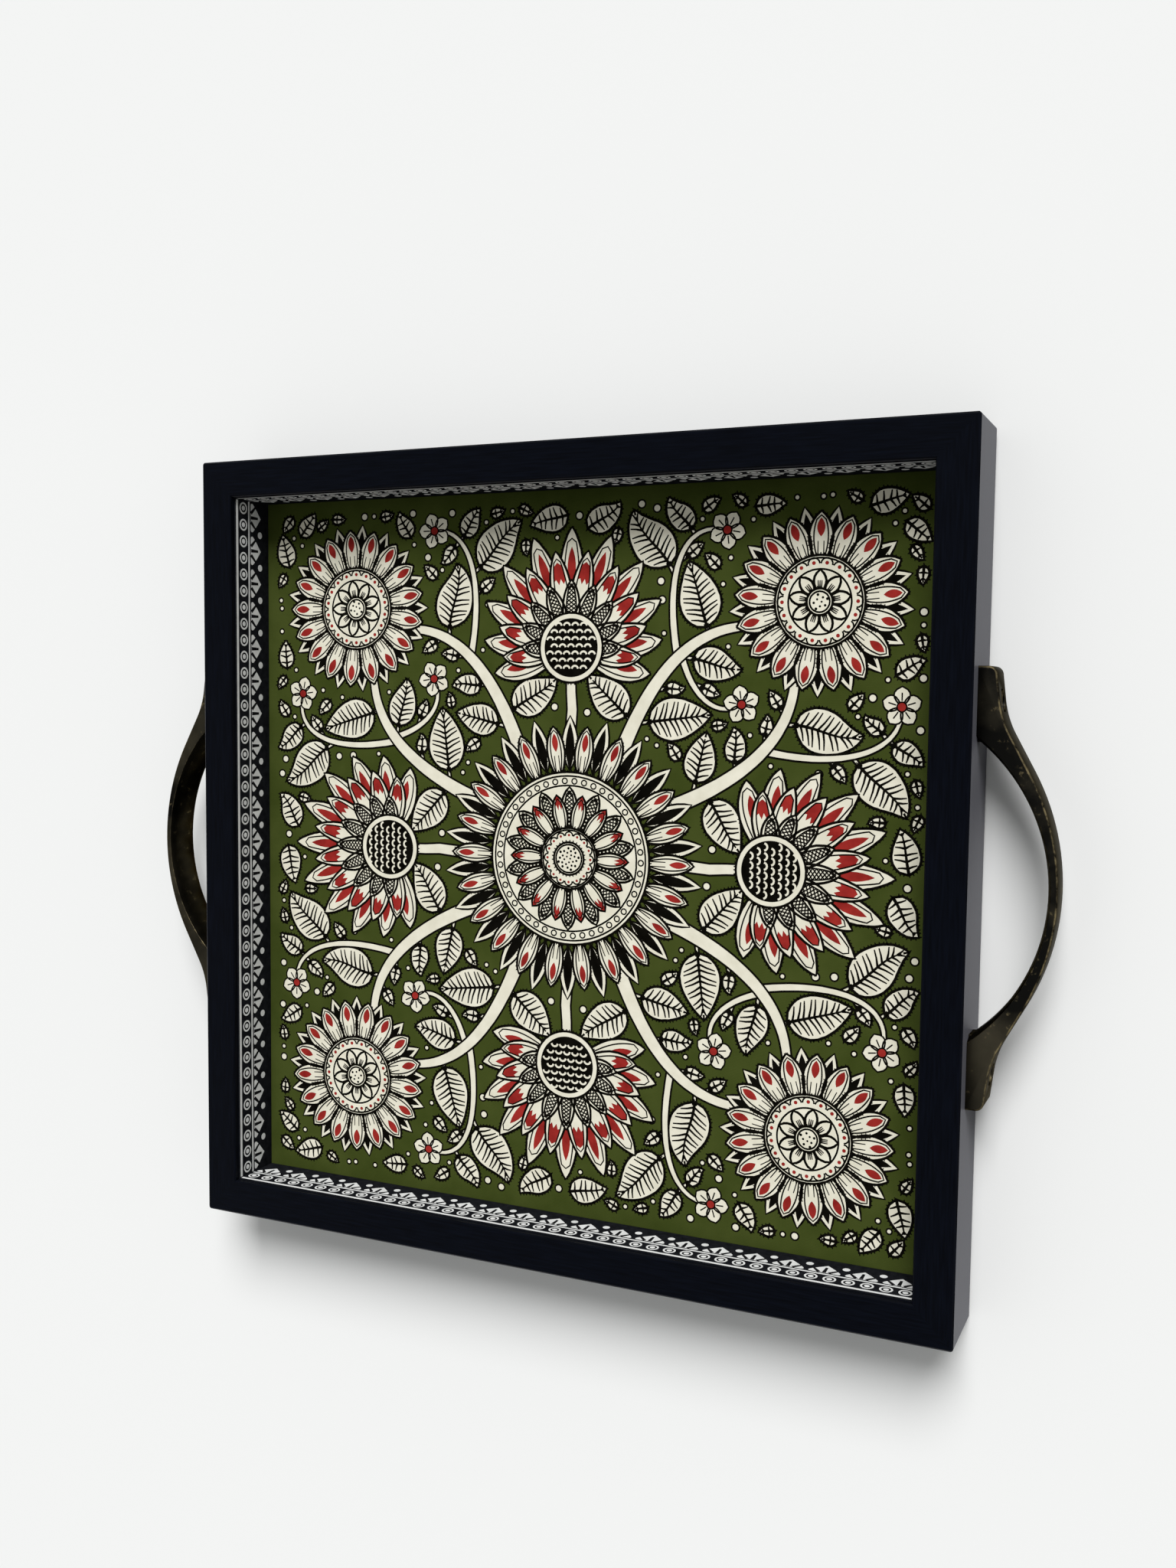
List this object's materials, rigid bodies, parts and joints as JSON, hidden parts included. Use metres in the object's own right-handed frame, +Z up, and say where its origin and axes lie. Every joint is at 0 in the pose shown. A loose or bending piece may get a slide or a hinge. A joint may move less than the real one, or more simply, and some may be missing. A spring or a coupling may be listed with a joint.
{
  "type": "serving tray",
  "caption": "Square wooden serving tray with mitred navy lacquer rails, a bordered inner wall, a printed cloth floor and antique brass bow handles.",
  "frame": {"origin": "centre of the tray in plan, on the plane that the four pads stand on", "axes": "+X to the right handle, +Y to the top of the picture, +Z up out of the tray"},
  "size_m": [0.3884, 0.33, 0.035],
  "materials": {
    "navy_lacquer": "near-black navy satin lacquer with fine brushed grain",
    "border_card": "charcoal card printed with a pale ornamental border",
    "printed_cloth": "matte plain-weave cotton, olive green ground with a cream, black and red print",
    "fibre_board": "smooth grey-brown board",
    "base_board": "thin board, stained dark, matte",
    "bright_steel": "plain steel wire and strip",
    "antique_brass": "cast brass, darkened, rubbed to gold along its edges",
    "screw_brass": "darkened brass screw head",
    "black_rubber": "matte black rubber"
  },
  "bodies": {
    "root": {"rail_right": "navy_lacquer", "rail_top": "navy_lacquer", "rail_left": "navy_lacquer", "rail_bottom": "navy_lacquer", "border_strip_right": "border_card", "border_strip_top": "border_card", "border_strip_left": "border_card", "border_strip_bottom": "border_card", "picture_cloth": "printed_cloth", "picture_board": "fibre_board", "base_panel": "base_board", "panel_staples": "bright_steel", "mitre_wedges_top_right": "bright_steel", "mitre_wedges_top_left": "bright_steel", "mitre_wedges_bottom_left": "bright_steel", "mitre_wedges_bottom_right": "bright_steel", "handle_right": "antique_brass", "handle_left": "antique_brass", "handle_screw_right_top": "screw_brass", "handle_screw_right_bottom": "screw_brass", "handle_screw_left_top": "screw_brass", "handle_screw_left_bottom": "screw_brass", "pad_top_right": "black_rubber", "pad_top_left": "black_rubber", "pad_bottom_left": "black_rubber", "pad_bottom_right": "black_rubber"}
  },
  "joints": []
}
